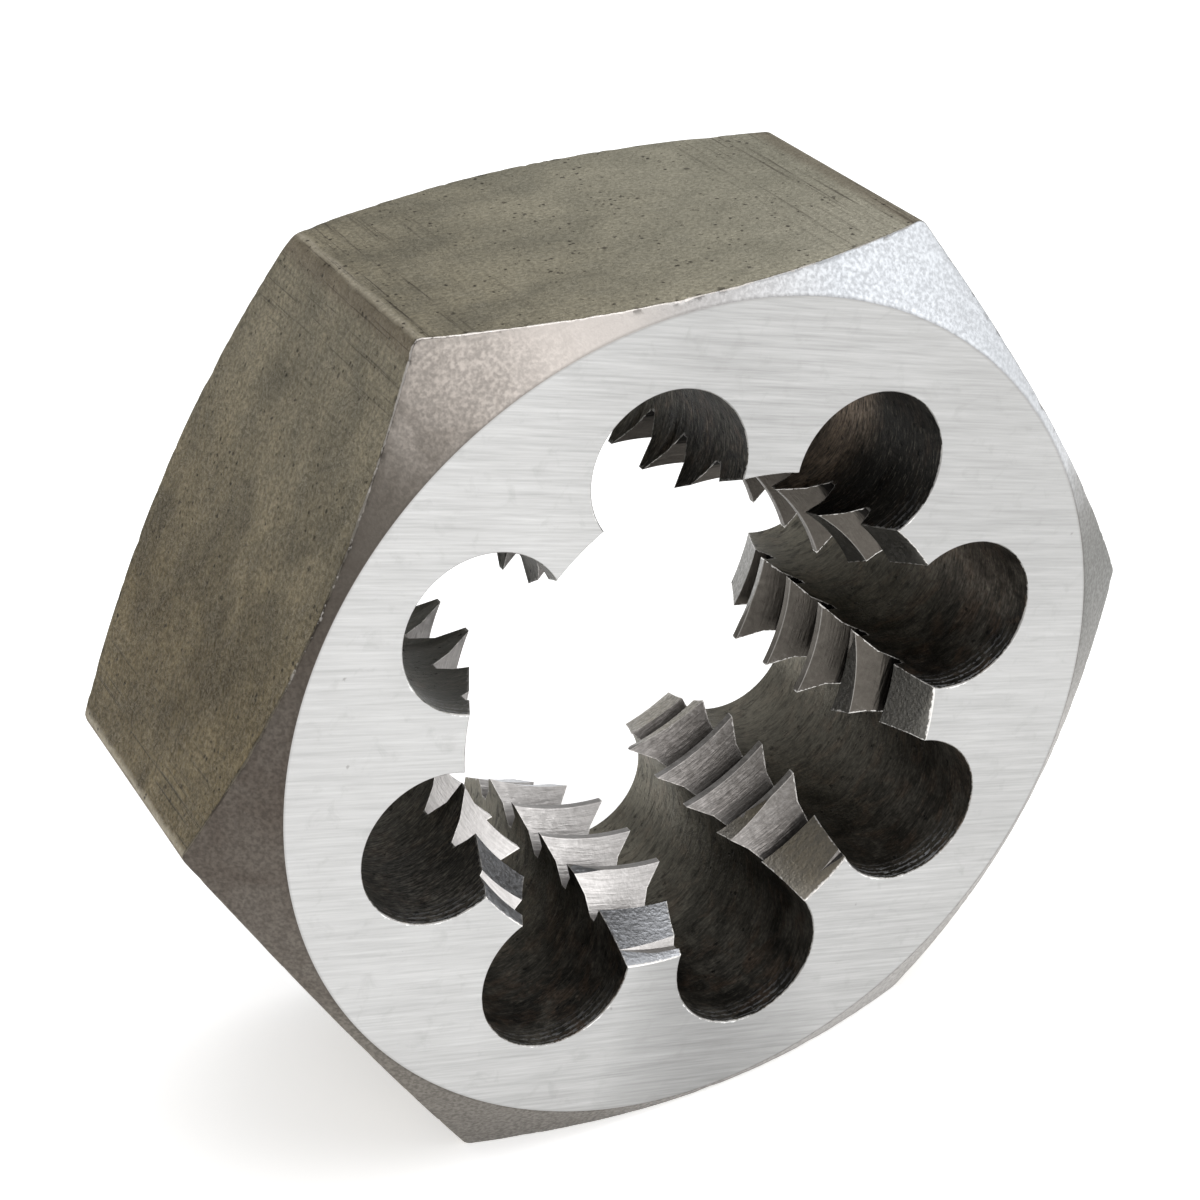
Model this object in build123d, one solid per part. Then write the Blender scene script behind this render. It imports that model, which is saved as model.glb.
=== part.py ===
from build123d import *
import math
import os

# A hexagon threading die: one thick block of tool steel, turned, drilled and ground from hexagon bar.
# A right-hand thread runs through its middle, eight chip holes cut that thread into eight lands,
# and both ends are ground flat inside a turned chamfer.
#
# Frame: the bore lies along Y with the front face towards -Y, Z is up, and the block stands on one
# of its six flats. The origin is the middle of the bore, half way through the block.
# All lengths are in millimetres. Angles in the face run from +X towards +Z.

INCH = 25.4

# Hexagon block
across_flats = 2.375 * INCH
thickness = 1.0 * INCH
corner_edge_radius = 0.8

# Turned chamfer at both ends, and the round ground face inside it
ground_face_diameter = 59.0
end_chamfer_angle = 33.5

# Thread: right-hand. Its diameter is across the roots of the groove, and its crests are flats
# of their own width, so the crests' diameter follows from the pitch and the flanks.
thread_diameter = 1.375 * INCH
thread_pitch = INCH / 6
flank_angle = 30.0
crest_flat_width = 0.5
groove_angle_half_way = 335.0

# Lead chamfer at both mouths of the thread. Each land's cone is set off to one side,
# so that the steel falls away behind the land's cutting edge.
lead_mouth_clearance = 0.45
lead_half_angle = 24.5
lead_relief = 2.0

# Chip holes, their centres that far outside the crests
chip_hole_count = 8
chip_hole_diameter = 10.8
chip_hole_offset = 4.75
first_chip_hole_angle = 8.0

# How far a cutter runs past the outside of the block, and into its open bore
cutter_overrun = 2.0
bore_overrun = 0.25

half_thickness = thickness / 2
flank_slope = math.tan(math.radians(flank_angle))
root_flat_width = thread_pitch / 8
root_radius = thread_diameter / 2
crest_radius = root_radius - (thread_pitch - root_flat_width - crest_flat_width) / 2 / flank_slope
lead_mouth_radius = root_radius + lead_mouth_clearance
land_step = 360 / chip_hole_count
first_land_angle = first_chip_hole_angle + land_step / 2


def hexagon_block():
    """Hexagon bar along Z, a corner at +X, its six long edges slightly rounded."""
    outline = RegularPolygon(across_flats / 2, 6, major_radius=False)
    outline = fillet(outline.vertices(), corner_edge_radius)
    return extrude(outline, half_thickness, both=True)


def turned_envelope():
    """Cylinder with a cone at each end, to which the corners of the block are turned down."""
    face_radius = ground_face_diameter / 2
    outer_radius = across_flats / math.sqrt(3) + cutter_overrun
    cone_depth = (outer_radius - face_radius) * math.tan(math.radians(end_chamfer_angle))
    profile = Polyline(
        (0, 0, -half_thickness),
        (face_radius, 0, -half_thickness),
        (outer_radius, 0, cone_depth - half_thickness),
        (outer_radius, 0, half_thickness - cone_depth),
        (face_radius, 0, half_thickness),
        (0, 0, half_thickness),
        close=True,
    )
    return revolve(make_face(profile), Axis.Z)


def thread_groove():
    """Helical cutter of the groove between two crests, longer than the block at both ends."""
    inner_radius = crest_radius - bore_overrun
    root_half_width = root_flat_width / 2
    inner_half_width = root_half_width + (root_radius - inner_radius) * flank_slope
    reach = half_thickness + thread_pitch
    path = Helix(thread_pitch, 2 * reach, root_radius, center=(0, 0, -reach))
    profile = Polyline(
        (root_radius, 0, -reach - root_half_width),
        (root_radius, 0, -reach + root_half_width),
        (inner_radius, 0, -reach + inner_half_width),
        (inner_radius, 0, -reach - inner_half_width),
        close=True,
    )
    start_angle = groove_angle_half_way - 360 * reach / thread_pitch
    return Rot(Z=start_angle) * sweep(make_face(profile), path, is_frenet=True)


def lead_chamfer(first_angle, step):
    """Cutter of the lead chamfers on the lands at the top mouth: one cone for each land."""
    slope = math.tan(math.radians(lead_half_angle))
    tip_radius = crest_radius - lead_relief - bore_overrun
    depth = (lead_mouth_radius - tip_radius) / slope
    top_radius = lead_mouth_radius + cutter_overrun * slope
    height = depth + cutter_overrun
    reach = 2 * lead_mouth_radius
    half_step = math.radians(land_step / 2)
    wedge_base = Polyline(
        (0, 0),
        (reach * math.cos(half_step), -reach * math.sin(half_step)),
        (reach * math.cos(half_step), reach * math.sin(half_step)),
        close=True,
    )
    wedge = extrude(make_face(wedge_base), height)
    cone = Pos(Y=-lead_relief) * Cone(tip_radius, top_radius, height, align=(Align.CENTER, Align.CENTER, Align.MIN))
    land_cutter = Pos(Z=half_thickness - depth) * (wedge & cone)
    return [Rot(Z=first_angle + index * step) * land_cutter for index in range(chip_hole_count)]


def chip_holes():
    """Straight holes on one circle that break into the bore."""
    spots = PolarLocations(crest_radius + chip_hole_offset, chip_hole_count, first_chip_hole_angle)
    return spots * Cylinder(chip_hole_diameter / 2, thickness + 2 * cutter_overrun)


die = hexagon_block() & turned_envelope()
die -= thread_groove()
die -= Cylinder(crest_radius, thickness + 2 * cutter_overrun)
die -= lead_chamfer(first_land_angle, land_step)
die -= [Rot(X=180) * cutter for cutter in lead_chamfer(-first_land_angle, -land_step)]
die -= chip_holes()
die = Rot(X=90) * die
die.label = "hex_die"

os.makedirs("parts", exist_ok=True)
export_step(die, "parts/hex_die.step")
print("volume", round(die.volume), "mm3, box", die.bounding_box().size)
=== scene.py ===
import math

import bpy
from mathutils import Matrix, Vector


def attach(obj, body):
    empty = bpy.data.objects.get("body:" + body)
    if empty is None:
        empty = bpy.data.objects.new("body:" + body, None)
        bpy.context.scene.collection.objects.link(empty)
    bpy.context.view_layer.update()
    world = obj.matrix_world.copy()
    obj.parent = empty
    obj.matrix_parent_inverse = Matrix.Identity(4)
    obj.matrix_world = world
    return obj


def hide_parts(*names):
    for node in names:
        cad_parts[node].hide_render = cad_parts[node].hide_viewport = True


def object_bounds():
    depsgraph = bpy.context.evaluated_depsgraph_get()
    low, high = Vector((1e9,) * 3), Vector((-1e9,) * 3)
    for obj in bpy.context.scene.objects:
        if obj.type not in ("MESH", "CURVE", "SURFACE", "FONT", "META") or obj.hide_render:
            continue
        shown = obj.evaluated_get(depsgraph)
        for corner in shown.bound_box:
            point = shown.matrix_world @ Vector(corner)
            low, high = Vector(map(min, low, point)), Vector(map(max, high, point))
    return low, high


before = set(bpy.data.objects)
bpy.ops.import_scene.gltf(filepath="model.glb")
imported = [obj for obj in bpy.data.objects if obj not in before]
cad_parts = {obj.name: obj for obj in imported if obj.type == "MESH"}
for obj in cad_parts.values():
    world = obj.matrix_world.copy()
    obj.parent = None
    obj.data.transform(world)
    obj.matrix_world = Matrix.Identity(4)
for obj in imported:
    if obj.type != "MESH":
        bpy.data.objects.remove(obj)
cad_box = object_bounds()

# HEXAGON BLOCK
# One length of hexagon tool-steel bar, sawn off and turned at both ends to a chamfer round a
# flat ring. Its six flats keep the blasted skin of the hardening shop, with dents along the edges.

# millimetres and degrees
BLOCK_SIZES = {
    "Across flats": 60.325, "Thickness": 25.4, "Corner rounding": 0.8, "Ground face": 59.0, "End chamfer": 33.5,
    "Edge rounding": 0.10, "Dent size": 1.3, "Seed": 3.0,
}
FLOAT, VECTOR, GEOMETRY = "NodeSocketFloat", "NodeSocketVector", "NodeSocketGeometry"


class Number:
    """A value inside a node tree. It adds, multiplies and compares as a plain number does."""

    def __init__(self, tree, socket):
        self.tree = tree
        self.socket = socket

    def __add__(self, other):
        return reckon("ADD", self, other)

    def __radd__(self, other):
        return reckon("ADD", other, self)

    def __sub__(self, other):
        return reckon("SUBTRACT", self, other)

    def __rsub__(self, other):
        return reckon("SUBTRACT", other, self)

    def __mul__(self, other):
        return reckon("MULTIPLY", self, other)

    def __rmul__(self, other):
        return reckon("MULTIPLY", other, self)

    def __truediv__(self, other):
        return reckon("DIVIDE", self, other)

    def __rtruediv__(self, other):
        return reckon("DIVIDE", other, self)

    def __neg__(self):
        return reckon("MULTIPLY", self, -1.0)

    def __lt__(self, other):
        return reckon("LESS_THAN", self, other)

    def __gt__(self, other):
        return reckon("GREATER_THAN", self, other)


def put(tree, slot, value):
    """Links a value or a socket to an input, or sets the input to a plain value."""
    if isinstance(value, Number):
        value = value.socket
    if isinstance(value, bpy.types.NodeSocket):
        tree.links.new(value, slot)
    else:
        slot.default_value = value


def add(tree, kind, inputs=(), **settings):
    """A node of that kind, its settings made and its inputs linked or set by name or number."""
    node = tree.nodes.new(kind)
    for label, value in settings.items():
        setattr(node, label, value)
    for label, value in dict(inputs).items():
        put(tree, node.inputs[label], value)
    return node


def reckon(operation, *values):
    """One Math node."""
    tree = next(value.tree for value in values if isinstance(value, Number))
    node = add(tree, "ShaderNodeMath", enumerate(values), operation=operation)
    return Number(tree, node.outputs[0])


def least(a, b):
    return reckon("MINIMUM", a, b)


def most(a, b):
    return reckon("MAXIMUM", a, b)


def between(value, low, high):
    return least(most(value, low), high)


def clip(value):
    return between(value, 0.0, 1.0)


def size(value):
    return reckon("ABSOLUTE", value)


def whole(value):
    return reckon("FLOOR", value)


def nearest(value):
    return reckon("ROUND", value)


def square(value):
    return value * value


def sine(degrees):
    return reckon("SINE", reckon("RADIANS", degrees))


def cosine(degrees):
    return reckon("COSINE", reckon("RADIANS", degrees))


def tangent(degrees):
    return reckon("TANGENT", reckon("RADIANS", degrees))


def angle_of(up, across):
    return reckon("DEGREES", reckon("ARCTAN2", up, across))


def length_of(a, b):
    return reckon("SQRT", square(a) + square(b))


def part_way(share, a, b):
    """a where share is 0, b where it is 1."""
    return a + share * (b - a)


def ramp(value, start, end):
    """From 0 where the value is at the start to 1 where it is at the end."""
    return clip((value - start) / (end - start))


def over(value, start, gain):
    """From 0 at the start up, that many times as steep as the value."""
    return clip((value - start) * gain)


def boost(value, gain):
    """A share with that much more contrast about its middle."""
    return clip((value - 0.5) * gain + 0.5)


def band(value, middle, gain, top=1.1):
    """1 near the middle value, falling off on both sides of it with that gain."""
    return clip(top - size(value - middle) * gain)


def toward(angle, side, gain, loss):
    """1 on the side of the die at that angle, 0 away from it. From the front, 0 is right and 90 up."""
    return clip(gain * cosine(angle - side) - loss)


def new_tree(name, kind, inputs, outputs):
    """An empty node tree with named inputs and outputs. Gives it, and its inputs by name."""
    tree = bpy.data.node_groups.new(name, kind)
    for labels, way in ((inputs, "INPUT"), (outputs, "OUTPUT")):
        for label, socket_type in labels.items():
            tree.interface.new_socket(label, in_out=way, socket_type=socket_type)
    door = tree.nodes.new("NodeGroupInput")
    return tree, {label: Number(tree, door.outputs[label]) for label in inputs}


def hand_out(tree, **results):
    door = tree.nodes.new("NodeGroupOutput")
    for label, value in results.items():
        put(tree, door.inputs[label.replace("_", " ")], value)


def use(tree, group, **inputs):
    """One use of a node group. Gives its outputs by name."""
    kind = "GeometryNodeGroup" if group.bl_idname == "GeometryNodeTree" else "ShaderNodeGroup"
    node = add(tree, kind, node_tree=group)
    for name, value in inputs.items():
        put(tree, node.inputs[name.replace("_", " ")], value)
    return {slot.name: Number(tree, slot) for slot in node.outputs}


def point(tree, x, y, z):
    return add(tree, "ShaderNodeCombineXYZ", enumerate((x, y, z))).outputs[0]


def parts_of(tree, vector):
    spot = add(tree, "ShaderNodeSeparateXYZ", {0: vector})
    return [Number(tree, slot) for slot in spot.outputs]


def mesh_place(tree):
    return parts_of(tree, tree.nodes.new("GeometryNodeInputPosition").outputs[0])


def grid_of(tree, columns, rows):
    """A grid of unit cells, with the column and row that each of its points is in."""
    grid = add(tree, "GeometryNodeMeshGrid",
               {"Size X": columns, "Size Y": rows, "Vertices X": columns + 1, "Vertices Y": rows + 1})
    x, y, _ = mesh_place(tree)
    return grid.outputs["Mesh"], x + columns / 2, y + rows / 2


def finish_where(tree, geometry, material, selection=True):
    node = add(tree, "GeometryNodeSetMaterial", {"Geometry": geometry, "Material": material, "Selection": selection})
    return node.outputs[0]


def keep_value(tree, geometry, name, value):
    """Stores a value on each point of the mesh under a name, for the materials to read."""
    node = add(tree, "GeometryNodeStoreNamedAttribute", {"Geometry": geometry, "Name": name, "Value": value},
               data_type="FLOAT", domain="POINT")
    return node.outputs["Geometry"]


def stored(tree, name):
    return Number(tree, add(tree, "ShaderNodeAttribute", attribute_name=name).outputs["Fac"])


def noise(tree, vector, scale, detail=2.0, roughness=0.5, distortion=0.0):
    node = add(tree, "ShaderNodeTexNoise",
               {"Vector": vector, "Scale": scale, "Detail": detail, "Roughness": roughness, "Distortion": distortion})
    return Number(tree, node.outputs[0])


def paint(tree, share, first, second):
    """The first colour where share is 0, the second where it is 1."""
    first, second = ((*colour, 1) if isinstance(colour, tuple) else colour for colour in (first, second))
    return add(tree, "ShaderNodeMix", {0: share, 6: first, 7: second}, data_type="RGBA").outputs[2]


def paint_over(tree, colour, *layers):
    """The colour with each layer, a share and a colour, laid over it in turn."""
    for share, top in layers:
        colour = paint(tree, share, colour, top)
    return colour


def new_finish(name, metallic):
    """A material, and what its finish is worked out from: its tree and the place on the die."""
    material = bpy.data.materials.new(name)
    material.use_nodes = True
    tree = material.node_tree
    tree.nodes["Principled BSDF"].inputs["Metallic"].default_value = metallic
    return material, tree, use(tree, PLACES, Object=add(tree, "ShaderNodeTexCoord").outputs["Object"])


def lay_on(tree, colour, roughness, height, depth):
    """Gives a material its colour and roughness, and a bump of that depth in millimetres."""
    shader = tree.nodes["Principled BSDF"]
    bump = add(tree, "ShaderNodeBump", {"Height": height, "Distance": depth / 1000, "Strength": 1.0})
    for label, value in (("Base Color", colour), ("Roughness", roughness), ("Normal", bump.outputs[0])):
        put(tree, shader.inputs[label], value)


def die_places():
    """Shader group: the point in millimetres, and its radius, angle and height along the bore."""
    tree, g = new_tree("place on the die", "ShaderNodeTree", {"Object": VECTOR},
                       {"Place": VECTOR, "Radius": FLOAT, "Angle": FLOAT, "Height": FLOAT})
    place = add(tree, "ShaderNodeVectorMath", {0: g["Object"], "Scale": 1000.0}, operation="SCALE").outputs[0]
    x, y, z = parts_of(tree, place)
    hand_out(tree, Place=place, Radius=length_of(x, z), Angle=angle_of(z, x), Height=-y)
    return tree


def soft_clouds():
    """Shader group: slow mottling with a finer one in it, from 0 to 1."""
    tree, g = new_tree("clouds", "ShaderNodeTree", {"Place": VECTOR, "Width": FLOAT}, {"Clouds": FLOAT})
    hand_out(tree, Clouds=boost(noise(tree, g["Place"], 1 / g["Width"], 5.0, 0.62, 0.6), 2.4))
    return tree


def long_lines():
    """Shader group: long straight grinding lines in the plane of the ends, from 0 to 1."""
    tree, g = new_tree("grinding lines", "ShaderNodeTree",
                       {"Place": VECTOR, "Direction": FLOAT, "Length": FLOAT, "Spacing": FLOAT}, {"Lines": FLOAT})
    x, y, z = parts_of(tree, g["Place"])
    along = x * cosine(g["Direction"]) + z * sine(g["Direction"])
    across = z * cosine(g["Direction"]) - x * sine(g["Direction"])
    spot = point(tree, along / g["Length"], across / g["Spacing"], y * 0.3)
    hand_out(tree, Lines=boost(noise(tree, spot, 1.0, 4.0, 0.65), 2.2))
    return tree


def small_pits():
    """Shader group: scattered ragged pits, 1 inside one."""
    tree, g = new_tree("pits", "ShaderNodeTree",
                       {"Place": VECTOR, "Spacing": FLOAT, "Size": FLOAT, "Share": FLOAT}, {"Pits": FLOAT})
    cell = add(tree, "ShaderNodeTexVoronoi", {"Vector": g["Place"], "Scale": 1 / g["Spacing"], "Randomness": 1.0})
    chance, width, _ = parts_of(tree, cell.outputs["Color"])
    reach = g["Size"] / g["Spacing"] * (0.35 + width)
    ragged = 1 + (noise(tree, g["Place"], 6.0, 2.0) - 0.5) * 2.2
    depth = clip(1.8 - 1.6 * Number(tree, cell.outputs["Distance"]) * ragged / reach)
    hand_out(tree, Pits=depth * (chance < g["Share"]))
    return tree


def even_grain():
    """Shader group: the even grain of a blasted or etched skin, from 0 to 1."""
    tree, g = new_tree("grain", "ShaderNodeTree", {"Place": VECTOR, "Width": FLOAT}, {"Grain": FLOAT})
    hand_out(tree, Grain=boost(noise(tree, g["Place"], 1 / g["Width"], 1.5, 0.6), 3.4))
    return tree


def worn_edge():
    """Shader group: bright wear that runs unevenly along an edge, from the distance to the edge."""
    tree, g = new_tree("worn edge", "ShaderNodeTree",
                       {"Place": VECTOR, "Distance": FLOAT, "Width": FLOAT, "Patchiness": FLOAT}, {"Wear": FLOAT})
    rough = noise(tree, g["Place"], 0.4, 2.0) + noise(tree, g["Place"], 2.2, 3.0, 0.7) - 1
    reach = g["Width"] * (1 + g["Patchiness"] * rough * 3.5)
    hand_out(tree, Wear=clip((reach - g["Distance"]) / (g["Width"] * 0.5)))
    return tree


def marked_edge():
    """Shader group: what marks the edge between a chamfer and a flat, from the distance to it. A line of
    painted shade runs beside it, with nicks, wear painted brighter on the lit side as a painted highlight,
    and chips on the left."""
    tree, g = new_tree("marked edge", "ShaderNodeTree",
                       {"Place": VECTOR, "Angle": FLOAT, "Distance": FLOAT, "Left from": FLOAT, "Chipped": FLOAT},
                       dict.fromkeys(("Lit", "Wear", "Nicks", "Left", "Line", "Chips"), FLOAT))
    knocks = use(tree, PITS, Place=g["Place"], Spacing=0.8, Size=0.3, Share=0.6)["Pits"]
    # Line: painted shade beside the edge. Lit: the side facing the lights, where wear gets a painted highlight.
    line = ramp(g["Distance"], 0.14, 0.04)
    left = ramp(g["Angle"], g["Left from"], g["Left from"] + 8)
    hand_out(tree, Lit=toward(g["Angle"], 85, 2.6, 1.2) * ramp(g["Angle"], 45, 105),
             Wear=use(tree, WEAR, Place=g["Place"], Distance=g["Distance"], Width=0.07, Patchiness=1.1)["Wear"],
             Nicks=knocks * ramp(g["Distance"], 0.45, 0.15), Left=left, Line=line,
             Chips=g["Chipped"] * line * left * ramp(g["Angle"], 160, 152))
    return tree


PLACES = die_places()
CLOUDS = soft_clouds()
LINES = long_lines()
PITS = small_pits()
GRAIN = even_grain()
WEAR = worn_edge()
EDGE = marked_edge()


def blasted_flat():
    """The six flats: hardened, blasted olive-brown skin with pits, and drawing marks by the corners."""
    material, tree, spot = new_finish("blasted_flat", 0.8)
    place, angle = spot["Place"], spot["Angle"]
    x, y, z = parts_of(tree, place)
    patches = use(tree, CLOUDS, Place=point(tree, x * 0.6, y, z * 0.6), Width=4.5)["Clouds"]
    stains = use(tree, CLOUDS, Place=place, Width=2.2)["Clouds"]
    grain = use(tree, GRAIN, Place=place, Width=0.29)["Grain"]
    worms = noise(tree, place, 1.3, 2.0, 0.6, 3.2)
    curls, glints = band(worms, 0.47, 14), band(worms, 0.56, 14)
    fine_pits = use(tree, PITS, Place=place, Spacing=0.45, Size=0.12, Share=(stains - 0.4) * 1.6)["Pits"]
    coarse_pits = use(tree, PITS, Place=place, Spacing=1.0, Size=0.16, Share=0.02 + 0.5 * patches)["Pits"]
    near_corner = ramp(stored(tree, "hexagon corner"), 9.2, 1.2)
    drawn = noise(tree, point(tree, x * 4, y * 0.09, z * 4), 1.0, 3.0, 0.6)
    gouges = over(drawn, 0.6, 12) * near_corner
    # degrees past the nearest corner: a bright crest on one side of it and a brown foot on the other
    sixth = angle / 60
    past_corner = (sixth - nearest(sixth)) * 60 + (stains - 0.5) * 0.5
    crest, foot = band(past_corner, -0.45, 2.2, 1.3), band(past_corner, 0.9, 0.9, 1.4)
    # painted shade: the flats, and their grain, darken and brown towards 235 degrees, the lower left, away from the
    # lights
    away = reckon("POWER", toward(angle, 235, 0.75, -0.75), 0.75)
    # painted highlight: a paler band between 54 and 78 degrees on the front half
    front_highlight = ramp(angle, 54, 60) * ramp(angle, 78, 66) * ramp(spot["Height"], 0, 9)
    edge = use(tree, EDGE, Place=place, Angle=angle, Distance=stored(tree, "chamfer edge"), Left_from=124,
               Chipped=over(stains, 0.68, 10))
    spread = clip((patches - 0.5) * 1.3 + (stains - 0.5) * 0.6 + 0.5)
    dull = paint(tree, away, (0.33, 0.315, 0.245), (0.098, 0.076, 0.039))
    pale = paint(tree, away, (0.48, 0.455, 0.36), (0.26, 0.208, 0.116))
    colour = paint_over(
        tree, paint(tree, spread, dull, pale),
        (front_highlight * 0.7, (0.56, 0.53, 0.43)),
        (grain * part_way(away, 0.42, 0.52), paint(tree, 0.45, (0, 0, 0), dull)),
        ((drawn - 0.42) * 1.6 * near_corner, (0.12, 0.105, 0.075)),
        (curls * 0.22 * stains, (0.066, 0.050, 0.026)),
        (glints * 0.3 * (1 - stains), paint(tree, 0.35, pale, (1, 0.93, 0.8))),
        (gouges * 0.75, (0.05, 0.041, 0.027)),
        (foot * 0.5, (0.17, 0.135, 0.095)),
        (crest * (0.3 + 0.4 * grain), (0.55, 0.50, 0.40)),
        (most(most(fine_pits, coarse_pits * 0.8) * 0.85, edge["Nicks"] * 0.75), (0.024, 0.018, 0.010)),
        # painted shade along the edge, more on the left, then wear painted brighter on the lit side
        (edge["Line"] * part_way(edge["Left"], 0.5, 0.75), (0.05, 0.042, 0.032)),
        (edge["Wear"] * part_way(edge["Lit"], 0.3, 0.85),
         paint(tree, edge["Lit"], (0.24, 0.215, 0.165), (0.68, 0.645, 0.60))),
        (edge["Chips"] * 0.8, (0.74, 0.70, 0.64)),
    )
    lay_on(tree, colour, 0.52 + 0.12 * grain, -grain * 0.6 - gouges * 0.8 - curls * 0.3, 0.05)
    return material


def turned_chamfer():
    """The turned chamfers: satin steel, with painted light and shade by the angle round the die: bluish on the
    upper right and warm on the upper left where the lights fall, a painted highlight near the top, and painted
    shade from the left round to below, darkest and brownest near 168 degrees.
    """
    material, tree, spot = new_finish("turned_chamfer", 1.0)
    place, angle = spot["Place"], spot["Angle"]
    broad = use(tree, CLOUDS, Place=place, Width=4.0)["Clouds"]
    fine = use(tree, CLOUDS, Place=place, Width=0.8)["Clouds"]
    speckle = use(tree, GRAIN, Place=place, Width=0.26)["Grain"]
    turned = noise(tree, point(tree, angle * 0.05, spot["Radius"] * 5, 0.0), 1.0, 2.0, 0.6)
    # painted shade from the left round to below, darkest and brownest near 168 degrees; glow is a painted highlight
    painted_shade = toward(angle, 245, 2.45, (0.5 - broad) * 0.35 - 1.9)
    brown_left = toward(angle, 168, 3.2, (0.5 - broad) * 0.5 + 2.3)
    coarse = toward(angle, 240, 1.5, -0.5)
    glow = ramp(angle, 115, 109) * ramp(angle, 92, 100)
    edge = use(tree, EDGE, Place=place, Angle=angle, Distance=stored(tree, "chamfer edge"), Left_from=112,
               Chipped=over(fine, 0.70, 8))
    pits = use(tree, PITS, Place=place, Spacing=2.6, Size=0.2, Share=0.25)["Pits"]
    inner = ramp(spot["Radius"] - BLOCK_SIZES["Ground face"] / 2, 0.144, 0.024)
    # painted light and shade by angle: a bluish tone near 62 and a warm one near 140 where the lights fall, then
    # painted shade, a grey lower right near 312, a dark strip near 4, and the painted highlight from 92 to 115
    colour = paint_over(
        tree, paint(tree, fine, (0.50, 0.50, 0.505), (0.61, 0.61, 0.615)),
        (toward(angle, 62, 3.0, 1.9) * 0.85, (0.43, 0.45, 0.475)),
        (toward(angle, 140, 1.6, 0.6) * 0.8, (0.54, 0.485, 0.435)),
        (painted_shade, (0.189, 0.173, 0.151)),
        (toward(angle, 312, 2.4, 1.2), (0.385, 0.37, 0.355)),
        (toward(angle, 4, 16, 15), (0.15, 0.15, 0.14)),
        (brown_left, (0.098, 0.082, 0.069)),
        (speckle * part_way(coarse, 0.14, 0.36), (0.030, 0.026, 0.023)),
        (glow * 0.5, (0.72, 0.67, 0.63)),
        (over(turned, 0.5, 3) * 0.12, (0.14, 0.125, 0.12)),
        (most(most(pits, edge["Nicks"]) * 0.6, inner * 0.3), (0.07, 0.062, 0.055)),
        # painted shade along the edge on the left, then wear painted brighter on the lit side
        (edge["Line"] * edge["Left"] * 0.75, (0.05, 0.042, 0.035)),
        (edge["Wear"] * part_way(edge["Lit"], 0.4, 0.85),
         paint(tree, edge["Lit"], (0.24, 0.215, 0.165), (0.72, 0.68, 0.65))),
        (edge["Chips"] * 0.8, (0.74, 0.70, 0.66)),
    )
    lay_on(tree, colour, 0.38 + 0.14 * speckle, -speckle * 0.3, 0.016)
    return material


def block_skin(flat_finish, chamfer_finish):
    """Node tree of the outer skin, bore upright: a ring of columns round the hexagon, each a profile
    from the edge of one ground face over its chamfer and flat to the edge of the other."""
    tree, g = new_tree("hexagon block", "GeometryNodeTree", dict.fromkeys(BLOCK_SIZES, FLOAT), {"Skin": GEOMETRY})
    flat_columns, corner_columns = 96, 6
    side_columns = flat_columns + corner_columns
    # rows on each part of half a profile, and the row that each part ends on
    ring, chamfer, edge, flat = 2, 6, 4, 8
    chamfer_end = ring + chamfer
    edge_end = chamfer_end + edge
    half_rows = edge_end + flat
    skin, column, row = grid_of(tree, 6 * side_columns, 2 * half_rows)
    skin = finish_where(tree, skin, flat_finish)
    skin = finish_where(tree, skin, chamfer_finish, size(row - half_rows) > half_rows - chamfer_end - edge / 2)
    column, row = nearest(column), nearest(row)

    half = g["Thickness"] / 2
    apothem = g["Across flats"] / 2
    rounding = g["Corner rounding"]
    tan_30 = math.tan(math.radians(30))
    side = whole(column / side_columns)
    along = column - side * side_columns
    normal = side * 60 + 30
    on_flat = (clip(along / flat_columns) * 2 - 1) * (apothem - rounding) * tan_30
    turn = clip((along - flat_columns) / corner_columns) * 60
    # the flat's point, then the rounded corner's point after it
    x = (apothem - rounding) * cosine(normal) - on_flat * sine(normal) + rounding * cosine(normal + turn)
    y = (apothem - rounding) * sine(normal) + on_flat * cosine(normal) + rounding * sine(normal + turn)
    out = length_of(x, y)

    lean = g["End chamfer"]
    ring_r = g["Ground face"] / 2
    up = reckon("SIGN", half_rows - row)
    level = least(row, 2 * half_rows - row)
    width = (out - ring_r) / cosine(lean)
    edge_height = half - (out - ring_r) * tangent(lean)
    # the two ends take their dents from places far apart in the noise, so that they differ
    spot = point(tree, x, y, up * 40 + g["Seed"])
    long_dents = most(noise(tree, spot, 0.55, 3.0) - 0.52, 0.0)
    short_dents = most(noise(tree, spot, 1.7, 2.0) - 0.6, 0.0) * 1.5
    dents = (long_dents + short_dents) * g["Dent size"]
    soft = least(g["Edge rounding"] * (0.6 + noise(tree, spot, 0.2)) + dents, width * 0.6)
    small = g["Edge rounding"] / 3

    t = clip(level / ring)
    ring_out = ring_r - small * square(1 - t) + small * cosine(lean) * square(t)
    ring_height = half - small * sine(lean) * square(t)
    down = small + clip((level - ring) / chamfer) * (width - soft - small)
    t = clip((level - chamfer_end) / edge)
    middle = clip((level - edge_end) / flat)
    edge_out = out - soft * cosine(lean) * square(1 - t)
    over_edge = (edge_height + soft * sine(lean) * square(1 - t) - soft * square(t)) * (1 - middle)
    past_ring, past_chamfer = level > ring + 0.5, level > chamfer_end + 0.5
    radius = part_way(past_chamfer, part_way(past_ring, ring_out, ring_r + down * cosine(lean)), edge_out)
    height = part_way(past_chamfer, part_way(past_ring, ring_height, half - down * sine(lean)), over_edge)
    place = point(tree, x / out * radius, y / out * radius, height * up)

    skin = keep_value(tree, skin, "chamfer edge", size(part_way(past_chamfer, width - down, edge_height - height)))
    skin = keep_value(tree, skin, "hexagon corner", apothem * tan_30 - size(on_flat))
    skin = add(tree, "GeometryNodeSetPosition", {"Geometry": skin, "Position": place}).outputs[0]
    hand_out(tree, Skin=skin)
    return tree


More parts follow.
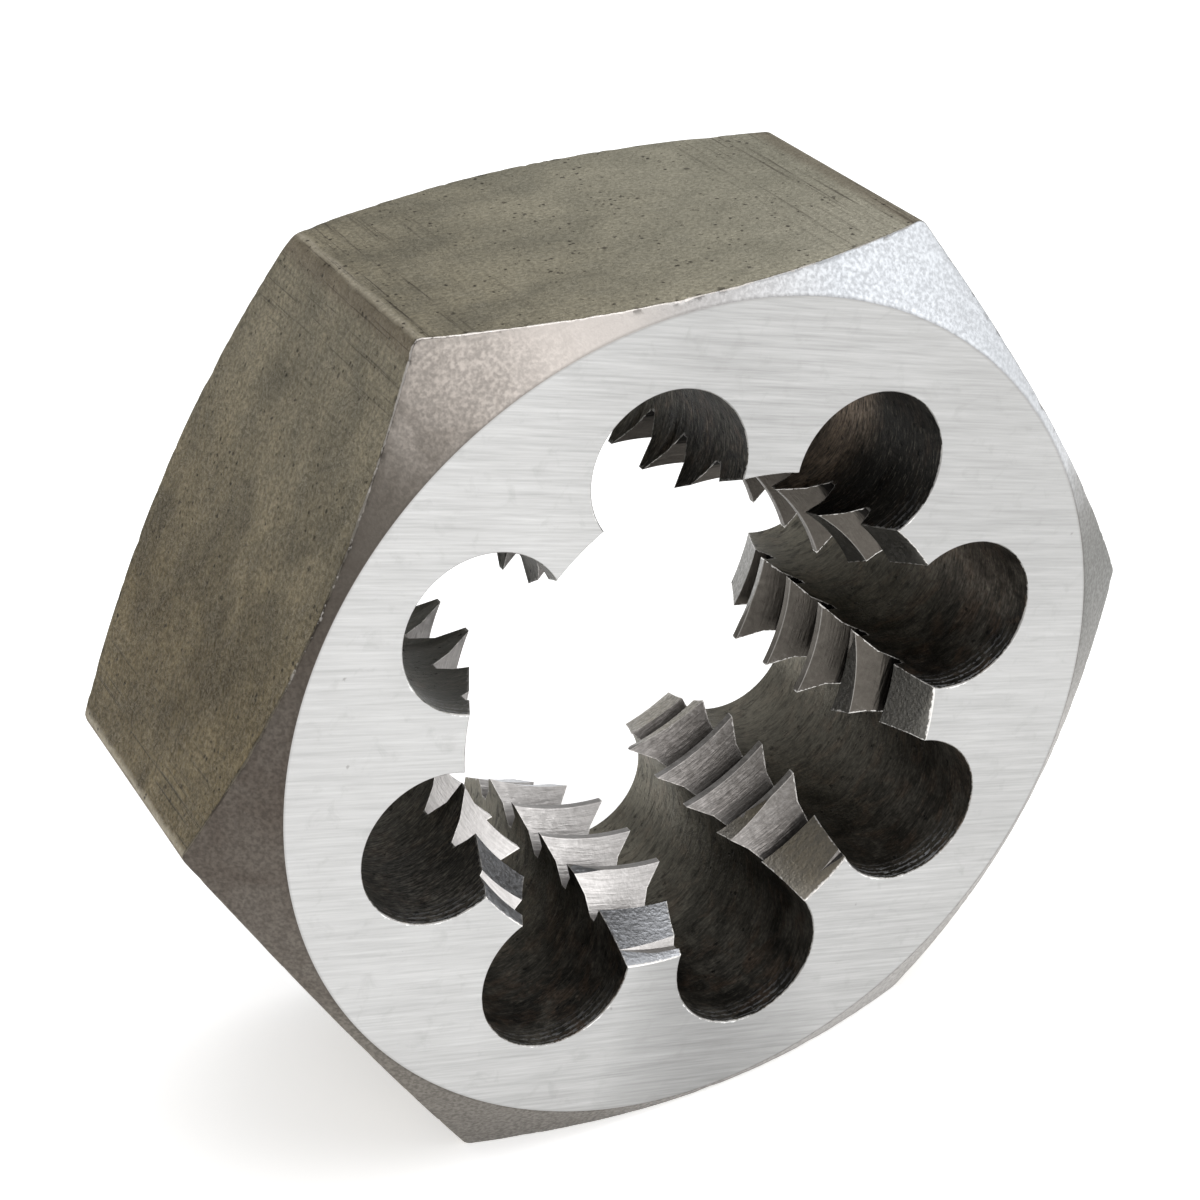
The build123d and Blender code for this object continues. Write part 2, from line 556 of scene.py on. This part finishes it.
# THREAD AND CHIP HOLES
# A right-hand thread cut through the bore and eight holes drilled along it, which leave eight
# lands with sharp teeth. A lead chamfer, ground with relief, opens both mouths of the thread.

THREAD_SIZES = {
    "Thread diameter": 34.925, "Pitch": 25.4 / 6, "Crest flat": 0.5, "Flank angle": 30.0, "Groove angle": 335.0,
    "Mouth clearance": 0.45, "Lead angle": 24.5, "Lead relief": 2.0, "Edge break": 0.07,
    "Holes": 8.0, "Hole diameter": 10.8, "Hole circle": 38.875, "First hole": 8.0,
}


def hole_places():
    """Shader group: the nearest chip hole's number, the angle about it from the bore outwards, the
    distance from its wall, the angle about it from level, and 1 on its lower side."""
    tree, g = new_tree("place at a chip hole", "ShaderNodeTree", {"Radius": FLOAT, "Angle": FLOAT},
                       dict.fromkeys(("Number", "Swing", "Off wall", "Facing", "Low side"), FLOAT))
    step = 360 / THREAD_SIZES["Holes"]
    folded = (g["Angle"] - THREAD_SIZES["First hole"]) / step
    number = nearest(folded)
    turn = (folded - number) * step
    beside = g["Radius"] * sine(turn)
    beyond = g["Radius"] * cosine(turn) - THREAD_SIZES["Hole circle"] / 2
    swing = angle_of(beside, beyond)
    facing = swing + g["Angle"] - turn
    hand_out(tree, Number=reckon("FLOORED_MODULO", number, THREAD_SIZES["Holes"]), Swing=swing, Facing=facing,
             Off_wall=length_of(beside, beyond) - THREAD_SIZES["Hole diameter"] / 2,
             Low_side=toward(facing, -105, 2.0, 0.5))
    return tree


def sharp_edge():
    """Shader group: where a land's ground cutting edge shines, from how near it the point is."""
    tree, g = new_tree("sharp edge", "ShaderNodeTree",
                       dict.fromkeys(("Near", "Grain", "Start", "Raggedness", "Gain"), FLOAT), {"Edge": FLOAT})
    hand_out(tree, Edge=clip((g["Near"] - g["Start"] + (g["Grain"] - 0.5) * g["Raggedness"]) * g["Gain"]))
    return tree


def shaded_land():
    """Shader group: painted shade on the lands round 32 degrees, with soft borders."""
    tree, g = new_tree("shaded land", "ShaderNodeTree", {"Angle": FLOAT, "Mottling": FLOAT}, {"Shade": FLOAT})
    hand_out(tree, Shade=toward(g["Angle"], 32, 0.85, -0.55 - g["Mottling"]))
    return tree


HOLES = hole_places()
SHARP = sharp_edge()
SHADE = shaded_land()


def cut_thread():
    """The flanks and crests: cut steel with the tool's lines along the helix and painted shade in the root."""
    material, tree, spot = new_finish("cut_thread", 1.0)
    place, angle = spot["Place"], spot["Angle"]
    climb = (angle - THREAD_SIZES["Groove angle"]) * (THREAD_SIZES["Pitch"] / 360)
    helix = point(tree, angle * 0.12, (spot["Height"] - climb) * 5, spot["Radius"] * 5)
    lines = boost(noise(tree, helix, 1.0, 2.0, 0.65), 4)
    fine = use(tree, CLOUDS, Place=place, Width=0.6)["Clouds"]
    grain = use(tree, GRAIN, Place=place, Width=0.28)["Grain"]
    # painted shade on the lands round 32 degrees, with their grain darker there
    shade = use(tree, SHADE, Angle=angle, Mottling=(fine - 0.5) * 0.25)["Shade"]
    # painted shade in the root, black on the shaded lands and lighter on the lit ones
    root = clip((stored(tree, "tooth root") - part_way(shade, 0.72, 0.28) + (lines - 0.5) * 0.25) * 3.5)
    corner = over(stored(tree, "tooth corner"), 0.94, 20)
    sharp = use(tree, SHARP, Near=stored(tree, "cutting edge"), Grain=grain,
                Start=0.8, Raggedness=0.3, Gain=8)["Edge"]
    colour = paint_over(
        tree, paint(tree, lines, (0.50, 0.485, 0.475), (0.60, 0.58, 0.57)),
        (shade, (0.116, 0.106, 0.092)),
        (grain * part_way(shade, 0.10, 0.45), (0.09, 0.078, 0.070)),
        (root * part_way(shade, 0.2, 1.0), (0.010, 0.009, 0.008)),
        (most(corner * 0.3, sharp * 0.8), (0.80, 0.78, 0.75)),
    )
    lay_on(tree, colour, 0.33 + 0.18 * fine, lines * 0.5 - grain * 0.3, 0.015)
    return material


def lead_chamfer():
    """The ground lead chamfers at the mouths: smooth grey, with fine lines round the bore and painted shade."""
    material, tree, spot = new_finish("lead_chamfer", 1.0)
    place, angle, height = spot["Place"], spot["Angle"], spot["Height"]
    lines = noise(tree, point(tree, angle * 0.2, height * 4, spot["Radius"] * 4), 1.0, 2.0, 0.7, 0.5)
    grain = use(tree, GRAIN, Place=place, Width=0.28)["Grain"]
    shade = use(tree, SHADE, Angle=angle, Mottling=0.0)["Shade"]
    sharp = use(tree, SHARP, Near=stored(tree, "cutting edge"), Grain=grain,
                Start=0.8, Raggedness=0.3, Gain=8)["Edge"]
    to_face = BLOCK_SIZES["Thickness"] / 2 - size(height)
    rim = use(tree, WEAR, Place=place, Distance=to_face, Width=0.12, Patchiness=0.9)["Wear"]
    # painted light and shade: blue-grey on the lit lands, warm then dark grey on the shaded ones
    colour = paint_over(
        tree, paint(tree, clip(shade * 2), (0.57, 0.585, 0.62), (0.31, 0.275, 0.215)),
        (clip(shade * 2 - 1), (0.155, 0.149, 0.133)),
        (boost(lines, 5) * 0.3, (0.12, 0.12, 0.12)),
        (grain * part_way(shade, 0.15, 0.4), (0.10, 0.097, 0.09)),
        (most(sharp * 0.8, rim), (0.85, 0.83, 0.80)),
    )
    lay_on(tree, colour, 0.3 + 0.15 * grain, lines * 0.5 - grain * 0.5, 0.02)
    return material


def drilled_hole():
    """The chip holes: drilled and left black from hardening, with brown smears, and the drill's rings just
    inside the front face, bright only on the lower side as a painted glint. Painted light makes them paler
    towards the back end and differs hole by hole, with a painted sheen in one and a painted glint in another."""
    material, tree, spot = new_finish("drilled_hole", 0.9)
    place = spot["Place"]
    hole = use(tree, HOLES, Radius=spot["Radius"], Angle=spot["Angle"])
    number = hole["Number"]

    def holes(first, last):
        """1 in the holes with these numbers, which run from 0, the one furthest right, to 7."""
        return size(number - (first + last) / 2) < (last - first + 1) / 2

    # millimetres round the hole, along it with the drill's slant, in from the front face and from the nearer one
    around = hole["Swing"] * math.radians(THREAD_SIZES["Hole diameter"] / 2)
    height = spot["Height"] + around * 0.12
    depth = BLOCK_SIZES["Thickness"] / 2 - spot["Height"]
    to_face = BLOCK_SIZES["Thickness"] / 2 - size(spot["Height"])
    swirls = noise(tree, point(tree, around * 0.5, height * 1.5, number * 7), 1.0, 3.0, 0.6, 0.7)
    streak = noise(tree, point(tree, around * 1.2, height * 6, number * 7), 1.0, 3.0, 0.7)
    smears = use(tree, CLOUDS, Place=point(tree, around * 0.8, height, number * 11), Width=2.6)["Clouds"]
    rust = use(tree, CLOUDS, Place=point(tree, around, height * 1.4, number * 5 + 40), Width=2.2)["Clouds"]
    grain = use(tree, GRAIN, Place=place, Width=0.29)["Grain"]
    pits = use(tree, PITS, Place=place, Spacing=0.8, Size=0.15, Share=0.3)["Pits"]
    specks = use(tree, PITS, Place=place, Spacing=0.9, Size=0.1, Share=0.35)["Pits"]
    scratches = over(streak, 0.61, 16)
    scored = part_way(holes(1, 4), 0.5, 0.85)
    # the drill's rings, with a painted glint: bright only on the hole's lower side, near the front face
    rings = over(sine(depth * 760 + streak * 500), 0.55, 4) * hole["Low side"] * ramp(depth, 2.08, 0.78)
    rings = rings * over(grain, 0.1, 3) * part_way(holes(1, 6), 1.0, 0.45)
    sharp = use(tree, SHARP, Near=stored(tree, "cutting edge"), Grain=grain,
                Start=0.6, Raggedness=0.5, Gain=3)["Edge"]
    rim = use(tree, WEAR, Place=place, Distance=to_face, Width=0.08, Patchiness=0.9)["Wear"]
    # painted light: paler towards the back end, where light comes in through the hole
    back = ramp(depth, 4.8, 20.8)
    uneven = 0.3 + 0.7 * smears
    # painted reflections: a sheen in hole 0 and a glint in hole 1
    sheen = toward(hole["Facing"], 15, 2.0, 0.9) * ramp(depth, 0, 4) * ramp(depth, 17.6, 9.6) * uneven
    gleam = ramp(depth, 6.5, 9.5) * ramp(depth, 13.5, 11.5) * uneven
    colour = paint_over(
        tree, paint(tree, over(smears, 0.3, 1.8), (0.043, 0.040, 0.034), (0.185, 0.172, 0.146)),
        (over(rust, 0.5, 3) * 0.6, (0.19, 0.13, 0.092)),
        # painted light towards the back end, then painted light and shade hole by hole: a sheen in hole 0, near black
        # round a glint in hole 1, paler in holes 3, 4 and 7, and darker in holes 1 and 2
        (back * (0.5 + 0.35 * smears), (0.33, 0.31, 0.25)),
        (holes(0, 0) * sheen * 0.5, (0.40, 0.33, 0.265)),
        (holes(1, 1) * 0.6, paint(tree, gleam, (0.004, 0.004, 0.0035), (0.76, 0.57, 0.42))),
        (over(swirls, 0.5, -4) * 0.75, (0.014, 0.0135, 0.011)),
        (holes(4, 4) * 0.3, (0.30, 0.29, 0.26)),
        (holes(7, 7) * 0.12, (0.30, 0.27, 0.22)),
        (over(streak, 0.43, -14) * part_way(back, scored, 0.1) * 0.4, (0.36, 0.33, 0.27)),
        (boost(streak, 4.5) * part_way(back, scored, 0.2), (0.007, 0.0065, 0.0055)),
        (grain * part_way(back, 0.4, 0.12), (0.008, 0.0075, 0.0065)),
        (holes(1, 2) * 0.2, (0.006, 0.006, 0.005)),
        (holes(3, 3) * 0.5, (0.30, 0.30, 0.28)),
        (specks * part_way(back, 0.4, 0.2), (0.26, 0.23, 0.19)),
        (scratches * part_way(back, 0.7, 0.3), (0.004, 0.004, 0.004)),
        (pits * part_way(back, 0.8, 0.4), (0.004, 0.004, 0.004)),
        (rings * 0.8, (0.50, 0.51, 0.53)),
        (most(sharp * 0.45, rim * 0.4), (0.75, 0.74, 0.72)),
    )
    bumps = swirls * 0.4 + streak * 0.5 - grain * 0.2 - pits * 0.6 - scratches * 0.6 + rings * 0.6
    lay_on(tree, colour, 0.40 + 0.2 * smears, bumps, 0.06)
    return material


# What the tooth wall and the land edge share: the thread's worked-out sizes, and a row of the wall's grid
THREAD_WORK = ("Half", "Root radius", "Crest radius", "Pitch", "Root half flat", "Flank slope", "Groove angle",
               "Mouth radius", "Lead slope", "Lead relief", "Edge break", "Land", "Row", "Last row")
# Rows to each turn of the groove, and which of them are the middle of its root and the first on the crest
STATIONS, ROOT, CREST = 9, 3, 7
RIM_ROWS = 3
# Millimetres: heights this close are one, and how deep a lead chamfer has to cut to show
SAME_HEIGHT, LEAST_CUT = 0.00001, 0.0005


def rim_step(row, last_row):
    """How many rows into the rim at a face a row is: 0 in the wall itself, then 1, 2 and 3."""
    return most(most(RIM_ROWS - row, row + RIM_ROWS - last_row), 0.0)


def rim_width(row, last_row, edge_break):
    """How far a rim row stands back from the wall: not at all, by 0.3 of the edge's break, or by all of it."""
    step = rim_step(row, last_row)
    return ((step > 1.5) * 0.3 + (step > 2.5) * 0.7) * edge_break


def tooth_wall():
    """Node tree that gives the height and radius of a point on a land, from its angle and its row.
    Nine rows follow each turn of the groove: crest corner, flank, root corner, root, root corner,
    flank, crest corner and two on the crest. They stop at the root's radius on a lead chamfer."""
    tree, g = new_tree("tooth wall", "GeometryNodeTree", dict.fromkeys((*THREAD_WORK, "Angle"), FLOAT),
                       dict.fromkeys(("Height", "Radius", "Station", "Lead", "Over crest", "Stopped"), FLOAT))
    half, pitch, slope, lead, flat = (g[n] for n in ("Half", "Pitch", "Flank slope", "Lead slope", "Root half flat"))
    root_r, crest_r, relief = g["Root radius"], g["Crest radius"], g["Lead relief"]

    def mouth(side):
        """Radius of the land's lead chamfer at the face: its cone stands off to one side."""
        swing = (g["Land"] - g["Angle"]) * side
        bow = square(relief * cosine(swing)) / (g["Mouth radius"] + crest_r)
        return g["Mouth radius"] + relief * sine(swing) - bow

    front, back = mouth(1.0), mouth(-1.0)
    step = g["Row"] - RIM_ROWS
    groove = whole(step / STATIONS)
    station = step - groove * STATIONS
    climb = pitch * (g["Angle"] - g["Groove angle"]) / 360
    centre = climb + pitch * (groove - 1 - reckon("CEIL", half / pitch))

    def crest_corner(centre, side):
        """Height at which a flank meets the crest or a lead chamfer."""
        push = lead * (flat + root_r * slope) * side
        at_front = (front - (half - centre) * lead + push) / (1 + side * (lead * slope))
        at_back = (back - (half + centre) * lead - push) / (1 - side * (lead * slope))
        corner_r = least(most(crest_r, most(at_front, at_back)), root_r)
        return centre + side * (flat + (root_r - corner_r) * slope)

    low = most((back - root_r) / lead, 0.0) - half
    high = half - most((front - root_r) / lead, 0.0)
    across = station - ROOT
    side = reckon("SIGN", across)
    up_flank = between(size(across) - 1.0, 0.0, 2.0) / 2
    in_groove = between(part_way(up_flank, centre + side * flat, crest_corner(centre, side)), low, high)
    start = between(crest_corner(centre, 1.0), low, high)
    stop = between(crest_corner(centre + pitch, -1.0), low, high)
    third = (stop - start) / 3

    def here_or(value, otherwise):
        return part_way((value > start) * (value < stop), otherwise, value)

    first = here_or((back - crest_r) / lead - half, start + third)
    second = here_or(half - (front - crest_r) / lead, stop - third)
    on_crest = part_way(station > CREST + 0.5, least(first, second), most(first, second))
    height = part_way(station > CREST - 0.5, in_groove, on_crest)
    at_face = reckon("SIGN", g["Row"] - g["Last row"] / 2) * half
    height = part_way(rim_step(g["Row"], g["Last row"]) > 0.5, height, at_face)
    height = between(height, g["Edge break"] - half, half - g["Edge break"])
    stopped = least(size(height - low), size(height - high)) < SAME_HEIGHT

    turns = (height - climb) / pitch
    off_centre = size(turns - nearest(turns)) * pitch
    groove_r = root_r - most(off_centre - flat, 0.0) / slope
    cone_r = most(front - (half - height) * lead, back - (half + height) * lead)
    thread_r = most(crest_r, groove_r)
    hand_out(tree, Height=height, Radius=most(thread_r, cone_r), Station=station, Lead=cone_r - thread_r,
             Over_crest=cone_r - crest_r, Stopped=stopped)
    return tree


def land_edge(wall):
    """Node tree that gives the point where a row of a land ends at a chip hole, as the angle
    about the bore, the same at the root's radius, and the angle about the hole."""
    tree, g = new_tree("land edge", "GeometryNodeTree",
                       dict.fromkeys((*THREAD_WORK, "Hole radius", "Hole circle", "Land step", "Side"), FLOAT),
                       dict.fromkeys(("Angle", "Root angle", "Height", "Swing"), FLOAT))
    shared = {name: g[name] for name in THREAD_WORK}
    out = rim_width(g["Row"], g["Last row"], g["Edge break"])
    circle = g["Hole circle"]

    def opening(radius):
        """Angle from the hole's middle to where its wall crosses that radius."""
        reach = square(radius) + square(circle) - square(g["Hole radius"] + out)
        return reckon("DEGREES", reckon("ARCCOSINE", reach / (2 * radius * circle)))

    def end_of_land(radius):
        return g["Land"] + g["Side"] * (g["Land step"] / 2 - opening(radius))

    # the land's radius and the angle it ends at depend on each other: three rounds bring them together
    radius = g["Root radius"]
    root_turn = end_of_land(radius)
    for _ in range(3):
        spot = use(tree, wall, **shared, Angle=end_of_land(radius))
        radius = spot["Radius"] + out
    hole_turn = opening(radius)
    swing = angle_of(radius * sine(hole_turn), radius * cosine(hole_turn) - circle)
    hand_out(tree, Angle=end_of_land(radius), Root_angle=root_turn, Height=spot["Height"], Swing=swing)
    return tree


def bore_wall(hole_finish, thread_finish, lead_finish):
    """Node tree of the wall inside: columns round the bore, over each land and round each chip hole."""
    tree, g = new_tree("bore wall", "GeometryNodeTree", dict.fromkeys(("Thickness", *THREAD_SIZES), FLOAT),
                       {"Wall": GEOMETRY})
    land_columns, hole_columns = 14, 64
    both_columns = land_columns + hole_columns
    half = g["Thickness"] / 2
    slope = tangent(g["Flank angle"])
    flat = g["Pitch"] / 16  # half of the flat at the root, which is one eighth of the pitch
    root_r = g["Thread diameter"] / 2
    crest_r = root_r - (g["Pitch"] - flat * 2 - g["Crest flat"]) / 2 / slope
    circle = g["Hole circle"] / 2
    land_step = 360 / g["Holes"]
    last_row = (reckon("CEIL", g["Thickness"] / g["Pitch"]) + 3) * STATIONS + (2 * RIM_ROWS - 1)
    wall, column, row = grid_of(tree, g["Holes"] * both_columns, last_row)
    past_land = column - whole(column / both_columns) * both_columns
    column, row = nearest(column), nearest(row)

    land = whole(column / both_columns)
    along = column - land * both_columns
    in_hole = along > land_columns + 0.5
    share = part_way(in_hole, along / land_columns, (along - land_columns) / hole_columns)
    centre = g["First hole"] + land_step / 2 + land * land_step
    shared = {
        "Half": half, "Root radius": root_r, "Crest radius": crest_r, "Pitch": g["Pitch"], "Root half flat": flat,
        "Flank slope": slope, "Groove angle": g["Groove angle"], "Mouth radius": root_r + g["Mouth clearance"],
        "Lead slope": tangent(g["Lead angle"]), "Lead relief": g["Lead relief"], "Edge break": g["Edge break"],
        "Land": centre, "Row": row, "Last row": last_row,
    }
    holes = {"Hole radius": g["Hole diameter"] / 2, "Hole circle": circle, "Land step": land_step}
    tooth = tooth_wall()
    edge = land_edge(tooth)

    # a land's columns run between its two edges, a hole's from one land's far edge to the next's near one
    first = use(tree, edge, **shared, **holes, Side=in_hole * 2 - 1)
    last = use(tree, edge, **{**shared, "Land": centre + in_hole * land_step}, **holes, Side=1 - in_hole * 2)
    turn = part_way(share, first["Angle"], last["Angle"])
    # a row that stops on the root's line keeps to the root's angles
    stopped = use(tree, tooth, **shared, Angle=turn)["Stopped"]
    turn = part_way(stopped, turn, part_way(share, first["Root angle"], last["Root angle"]))
    tooth_at = use(tree, tooth, **shared, Angle=turn)
    row_before = use(tree, tooth, **{**shared, "Row": row - 1}, Angle=turn)
    out = rim_width(row, last_row, g["Edge break"])
    lift = reckon("SIGN", row - last_row / 2) * out
    radius = tooth_at["Radius"] + out
    hole_turn = centre + land_step / 2
    swing = hole_turn + part_way(share, -first["Swing"], last["Swing"])
    hole_r = g["Hole diameter"] / 2 + out
    x = part_way(in_hole, radius * cosine(turn), circle * cosine(hole_turn) + hole_r * cosine(swing))
    y = part_way(in_hole, radius * sine(turn), circle * sine(hole_turn) + hole_r * sine(swing))
    z = part_way(in_hole, tooth_at["Height"], part_way(share, first["Height"], last["Height"])) + lift

    station = tooth_at["Station"]
    cutting = (size(along - land_columns / 2) > land_columns / 2 - 0.5) * (along < land_columns + 0.5)
    wall = keep_value(tree, wall, "cutting edge", most(cutting, (along < 0.5) * 1.0))
    wall = keep_value(tree, wall, "tooth corner", (size(station - ROOT) > 2.5) * (station < CREST - 0.5))
    wall = keep_value(tree, wall, "tooth root", size(station - ROOT) < 1.5)
    wall = finish_where(tree, wall, thread_finish)
    on_crest = most(station > CREST - 0.5, station < 0.5)
    lead = most(tooth_at["Lead"], on_crest * most(tooth_at["Over crest"], row_before["Over crest"]))
    wall = finish_where(tree, wall, lead_finish, lead > LEAST_CUT)
    wall = finish_where(tree, wall, hole_finish, past_land > land_columns)
    wall = add(tree, "GeometryNodeSetPosition", {"Geometry": wall, "Position": point(tree, x, y, z)}).outputs[0]
    hand_out(tree, Wall=wall)
    return tree


# GROUND FACES
# Both ends are ground flat between the chamfer and the holes. They close the block's skin and
# the bore's wall into one solid piece.

# Millimetres: points this close become one, and how near an end's height counts as the end
WELD_REACH, END_REACH = 0.0003, 0.001
# Degrees: an edge that bends further than this is crisp
CRISP_BEND = 22


def ground_face():
    """The ground ends: bright, with the grinding wheel's long straight lines, painted shade by angle, and a burr
    at the holes that is bright only on their lower rims as a painted glint.
    """
    material, tree, spot = new_finish("ground_face", 1.0)
    place, angle = spot["Place"], spot["Angle"]
    broad, middle, fine = (
        use(tree, LINES, Place=place, Direction=-16.0, Length=length, Spacing=spacing)["Lines"]
        for length, spacing in ((40.0, 1.6), (14.0, 0.45), (5.0, 0.17)))
    clouds = use(tree, CLOUDS, Place=place, Width=6.0)["Clouds"]
    smudges = use(tree, CLOUDS, Place=place, Width=1.6)["Clouds"]
    pits = use(tree, PITS, Place=place, Spacing=2.8, Size=0.16, Share=0.25)["Pits"]
    border = ramp(size(spot["Radius"] - BLOCK_SIZES["Ground face"] / 2), 0.192, 0.032)
    hole = use(tree, HOLES, Radius=spot["Radius"], Angle=angle)
    wear = use(tree, WEAR, Place=place, Distance=hole["Off wall"], Width=0.10, Patchiness=1.3)["Wear"]
    # the burr, with a painted glint: bright only on the lower rims of the holes
    burr_glint = wear * hole["Low side"]
    lines = broad * 0.13 + middle * 0.33 + fine * 0.54
    lines = (lines - 0.5) * (0.85 + 0.3 * square(sine(angle))) + 0.5
    # painted shade: the ground face darkens except near 172, 265 and 346 degrees, and most at the bottom near 270
    unshaded = most(toward(angle, 172, 2, 0.3), toward(angle, 265, 3, 1) * 0.45)
    unshaded = most(unshaded, toward(angle, 346, 12, 11) * 0.5)
    colour = paint_over(
        tree, paint(tree, lines, (0.36, 0.36, 0.355), (0.66, 0.66, 0.655)),
        ((1 - unshaded) * 0.19 + toward(angle, 270, 12, 11.3) * 0.38, (0.02, 0.02, 0.019)),
        (clouds * 0.14, (0.34, 0.336, 0.328)),
        (over(smudges, 0.65, 3) * 0.22, (0.27, 0.27, 0.26)),
        (most(pits * 0.5, border * 0.4), (0.20, 0.19, 0.18)),
        (burr_glint * 0.85, (0.93, 0.93, 0.92)),
    )
    lay_on(tree, colour, 0.30 + 0.16 * fine, broad * 0.2 + middle * 0.4 + fine * 0.4, 0.010)
    return material


def whole_die(face_finish):
    """Node tree of the whole die, laid with its bore along Y and brought to metres."""
    tree, g = new_tree("hex die", "GeometryNodeTree", dict.fromkeys((*BLOCK_SIZES, *THREAD_SIZES), FLOAT),
                       {"Die": GEOMETRY})
    skin = use(tree, block_skin(blasted_flat(), turned_chamfer()), **{n: g[n] for n in BLOCK_SIZES})["Skin"]
    wall = use(tree, bore_wall(drilled_hole(), cut_thread(), lead_chamfer()),
               **{n: g[n] for n in ("Thickness", *THREAD_SIZES)})["Wall"]
    half = g["Thickness"] / 2
    height = mesh_place(tree)[2]

    def weld(parts):
        joined = tree.nodes.new("GeometryNodeJoinGeometry")
        for part in parts:
            put(tree, joined.inputs[0], part)
        return add(tree, "GeometryNodeMergeByDistance",
                   {"Geometry": joined.outputs[0], "Distance": WELD_REACH}).outputs[0]

    both = add(tree, "GeometryNodeFlipFaces", {"Mesh": weld([skin, wall])}).outputs[0]
    parts = [both]
    faces_beside = Number(tree, tree.nodes.new("GeometryNodeInputMeshEdgeNeighbors").outputs[0])
    for side in (1, -1):
        open_edge = (faces_beside < 1.5) * (height * side > half - END_REACH)
        loops = add(tree, "GeometryNodeMeshToCurve", {"Mesh": both, "Selection": open_edge}).outputs[0]
        face = add(tree, "GeometryNodeFillCurve", {"Curve": loops}, mode="TRIANGLES").outputs[0]
        if side < 0:
            face = add(tree, "GeometryNodeFlipFaces", {"Mesh": face}).outputs[0]
        at_end = point(tree, 0.0, 0.0, half * side)
        face = add(tree, "GeometryNodeTransform", {"Geometry": face, "Translation": at_end}).outputs[0]
        parts.append(finish_where(tree, face, face_finish))
    die = weld(parts)
    bend = Number(tree, tree.nodes.new("GeometryNodeInputMeshEdgeAngle").outputs[0])
    crisp = most(bend > math.radians(CRISP_BEND), size(height) > half - END_REACH)
    die = add(tree, "GeometryNodeSetShadeSmooth", {"Geometry": die}).outputs[0]
    die = add(tree, "GeometryNodeSetShadeSmooth",
              {"Geometry": die, "Selection": crisp, "Shade Smooth": False}, domain="EDGE").outputs[0]
    die = add(tree, "GeometryNodeTransform",
              {"Geometry": die, "Rotation": (math.radians(90), 0, 0), "Scale": (0.001, 0.001, 0.001)}).outputs[0]
    die = add(tree, "GeometryNodeRealizeInstances", {"Geometry": die}).outputs[0]
    hand_out(tree, Die=die)
    return tree


def made_mesh(name, tree, sizes):
    """The plain mesh that a tree makes from these sizes."""
    holder = bpy.data.objects.new(name, bpy.data.meshes.new(name))
    bpy.context.collection.objects.link(holder)
    modifier = holder.modifiers.new("shape", "NODES")
    modifier.node_group = tree
    for item in tree.interface.items_tree:
        if item.in_out == "INPUT":
            modifier[item.identifier] = sizes[item.name]
    evaluated = holder.evaluated_get(bpy.context.evaluated_depsgraph_get())
    mesh = bpy.data.meshes.new_from_object(evaluated)
    mesh.name = name
    holder.modifiers.remove(modifier)
    holder.data = mesh
    return holder


die = made_mesh("threading_die", whole_die(ground_face()), {**BLOCK_SIZES, **THREAD_SIZES})
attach(die, "root")
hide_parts("hex_die")

# FLOOR, LIGHT AND CAMERA
# A plain pale floor, large soft lights as in a product studio, and the camera at the photograph's
# viewing angle.

FLOOR_REACH = 3
floor_corners = [(FLOOR_REACH * x, FLOOR_REACH * y, 0) for x, y in ((-1, -1), (1, -1), (1, 1), (-1, 1))]
floor_mesh = bpy.data.meshes.new("floor")
floor_mesh.from_pydata(floor_corners, [], [(0, 1, 2, 3)])
floor = bpy.data.objects.new("floor", floor_mesh)
bpy.context.collection.objects.link(floor)
floor.location.z = cad_box[0].z
floor_finish = bpy.data.materials.new("floor")
floor_finish.use_nodes = True
for label, value in {"Base Color": (0.95, 0.95, 0.95, 1), "Roughness": 0.8, "Metallic": 0.0,
                     "Emission Color": (1, 1, 1, 1), "Emission Strength": 0.5}.items():
    floor_finish.node_tree.nodes["Principled BSDF"].inputs[label].default_value = value
floor_mesh.materials.append(floor_finish)


def softbox(name, place, width, height, power, colour=(1, 1, 1)):
    """A rectangular light that faces the die."""
    light = bpy.data.lights.new(name, "AREA")
    light.shape = "RECTANGLE"
    light.size, light.size_y, light.energy, light.color = width, height, power, colour
    lamp = bpy.data.objects.new(name, light)
    bpy.context.collection.objects.link(lamp)
    lamp.location = place
    lamp.rotation_euler = (-Vector(place)).to_track_quat("-Z", "Y").to_euler()


softbox("right light", (0.62, -0.42, 0.22), 0.62, 0.62, 2.8)
softbox("front light", (-0.12, -0.70, 0.42), 0.40, 0.35, 1.05, (1.0, 0.96, 0.94))
softbox("top light", (0.12, -0.05, 0.75), 0.7, 0.7, 3.0)

world = bpy.data.worlds.new("studio")
bpy.context.scene.world = world
world.use_nodes = True
world.node_tree.nodes["Background"].inputs["Color"].default_value = (1, 1, 1, 1)
world.node_tree.nodes["Background"].inputs["Strength"].default_value = 0.44

camera_data = bpy.data.cameras.new("camera")
camera_data.sensor_width = 36.0
camera_data.lens = 80.361
camera_data.clip_start = 0.01
camera = bpy.data.objects.new("camera", camera_data)
bpy.context.collection.objects.link(camera)
camera.location = (-0.07216, -0.13863, 0.09373)
camera.rotation_euler = tuple(math.radians(a) for a in (59.919, 1.4075, -27.906))
bpy.context.scene.camera = camera
bpy.context.scene.view_settings.view_transform = "Standard"
